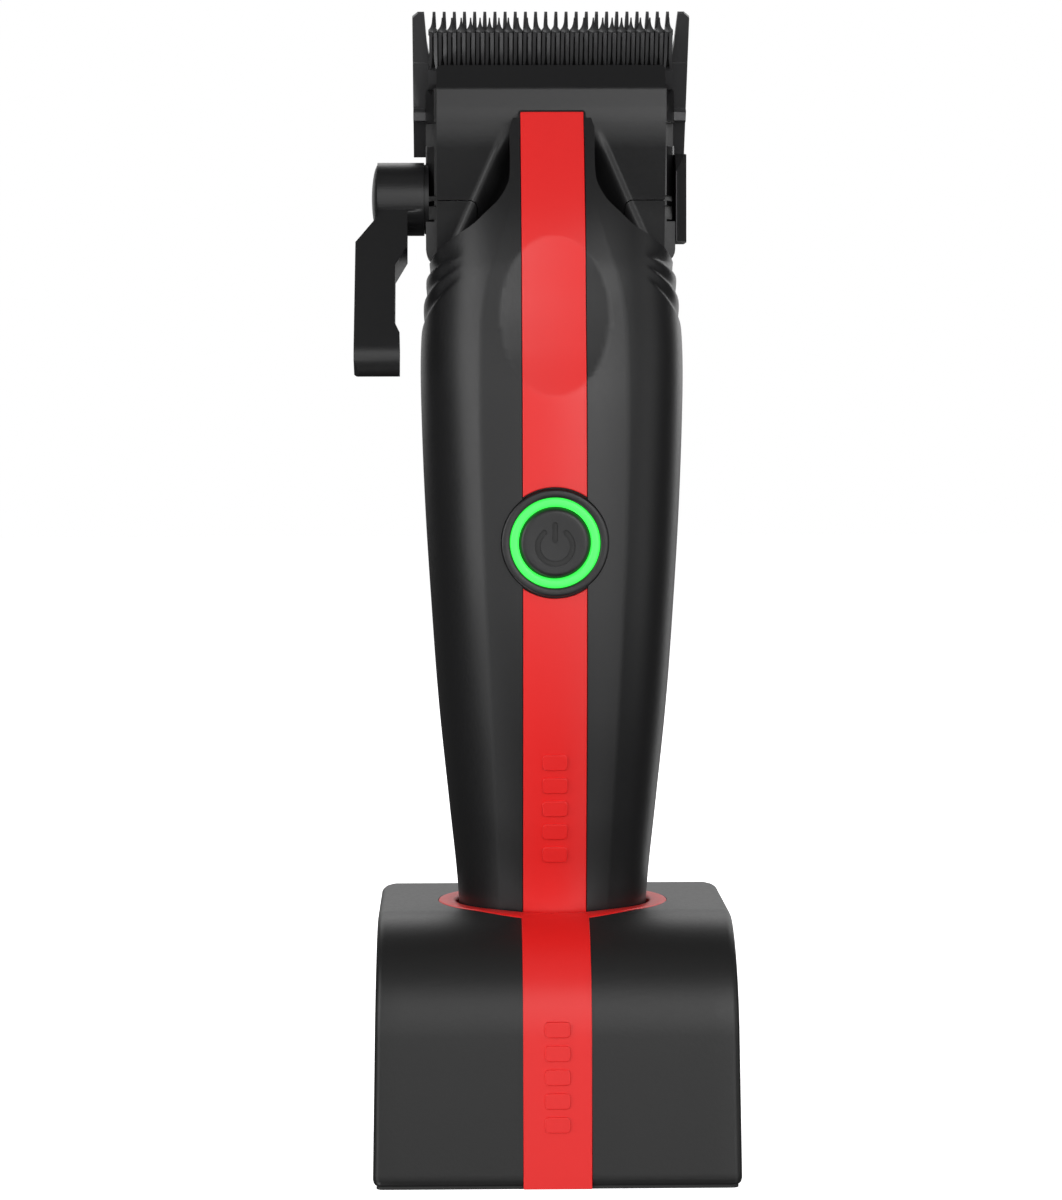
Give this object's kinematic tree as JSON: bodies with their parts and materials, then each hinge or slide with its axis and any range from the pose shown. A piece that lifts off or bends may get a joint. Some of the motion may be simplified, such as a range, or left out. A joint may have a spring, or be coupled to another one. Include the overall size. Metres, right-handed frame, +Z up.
{
  "type": "hair clipper",
  "caption": "Cordless hair clipper with side taper lever and lit thumb button, standing blade up in a block charging stand, with a coloured stripe down the front.",
  "frame": {"origin": "underside of the stand's pad, below the clipper's long axis", "axes": "+Z up towards the blade tips, -Y towards the thumb button and stripe, +X towards the retaining plate, -X towards the taper lever"},
  "size_m": [0.0632, 0.0571, 0.1933],
  "materials": {
    "black_body": "satin soft-touch moulding",
    "black_stand": "fine satin moulding",
    "red_stripe": "satin painted insert",
    "black_inner": "plain moulding",
    "led_green": "frosted light guide",
    "blade_black": "hard dark coating, fine grind",
    "head_black": "satin powder coat",
    "lever_black": "satin powder coat",
    "rubber": "matt",
    "steel": "bright",
    "brass": "plated contacts",
    "board": "solder mask",
    "cell_wrap": "shrink wrap",
    "copper": "wound core",
    "white_nylon": "self-lubricating nylon",
    "ballast": "plain steel plate"
  },
  "bodies": {
    "stand": {"stand_shell": "black_stand", "stand_stripe": "red_stripe", "socket_ring": "red_stripe", "socket_cup": "black_inner", "base_plate": "black_inner", "ballast_plate": "ballast", "anti_slip_pad": "rubber", "charging_board": "board", "power_inlet": "steel", "inlet_tongue": "black_inner", "base_screws": "steel", "contact_spring_left": "steel", "contact_spring_right": "steel"},
    "contact_left": {"contact_pin_left": "brass"},
    "contact_right": {"contact_pin_right": "brass"},
    "clipper": {"front_housing": "black_body", "rear_housing": "black_body", "upper_stripe": "red_stripe", "lower_stripe": "red_stripe", "button_bezel": "black_body", "led_ring": "led_green", "tact_switch": "black_inner", "main_board": "board", "battery_cell": "cell_wrap", "battery_cradle": "black_inner", "motor_can": "steel", "motor_end_cap": "black_inner", "motor_bearing": "brass", "motor_mount": "steel", "motor_screws": "steel", "tail_cap": "black_body", "tail_screws": "steel", "charge_contacts": "brass", "head_chassis": "head_black", "head_cover": "head_black", "head_corner_covers": "head_black", "fixed_blade": "blade_black", "blade_screws": "steel", "side_plate": "head_black", "side_plate_screw": "steel"},
    "button": {"power_button": "black_body"},
    "rotor": {"rotor_core": "copper", "motor_shaft": "steel", "eccentric_cam": "steel"},
    "lever": {"taper_lever": "lever_black", "lever_cap": "lever_black", "lever_shaft": "steel", "lever_crank": "steel"},
    "carriage": {"cutter_carriage": "steel", "carriage_rail": "steel"},
    "cutter": {"cutter_blade": "blade_black", "drive_fork": "white_nylon"}
  },
  "joints": [
    {"name": "clipper_lift", "type": "slide", "parent": "stand", "child": "clipper", "axis": [0, 0, 1], "range_m": [0, 0.06]},
    {"name": "contact_pin_left_press", "type": "slide", "parent": "stand", "child": "contact_left", "axis": [0, 0, 1], "range_m": [-0.001, 0], "stiffness_N_per_m": 150, "springref_m": 0.0006, "deforming": ["contact_spring_left"]},
    {"name": "contact_pin_right_press", "type": "slide", "parent": "stand", "child": "contact_right", "axis": [0, 0, 1], "range_m": [-0.001, 0], "stiffness_N_per_m": 150, "springref_m": 0.0006, "deforming": ["contact_spring_right"]},
    {"name": "power_button_press", "type": "slide", "parent": "clipper", "child": "button", "axis": [0, 1, 0], "range_m": [0, 0.0008], "stiffness_N_per_m": 600, "springref_m": -0.0004},
    {"name": "taper_lever_turn", "type": "hinge", "parent": "clipper", "child": "lever", "pos_m": [-0.025, 0.0055, 0.1625], "axis": [1, 0, 0], "range_deg": [0, 30]},
    {"name": "carriage_slide", "type": "slide", "parent": "clipper", "child": "carriage", "axis": [0, -0.5736, 0.8192], "range_m": [-0.00165, 0]},
    {"name": "cutter_oscillation", "type": "slide", "parent": "carriage", "child": "cutter", "axis": [1, 0, 0], "range_m": [-0.0011, 0.0011]},
    {"name": "motor_spin", "type": "hinge", "parent": "clipper", "child": "rotor", "pos_m": [0, 0.002, 0.125], "axis": [0, 0, 1], "continuous": true}
  ],
  "couplings": [
    {"joint": "taper_lever_turn", "follows": "carriage_slide", "rad_per_m": -317.33}
  ]
}
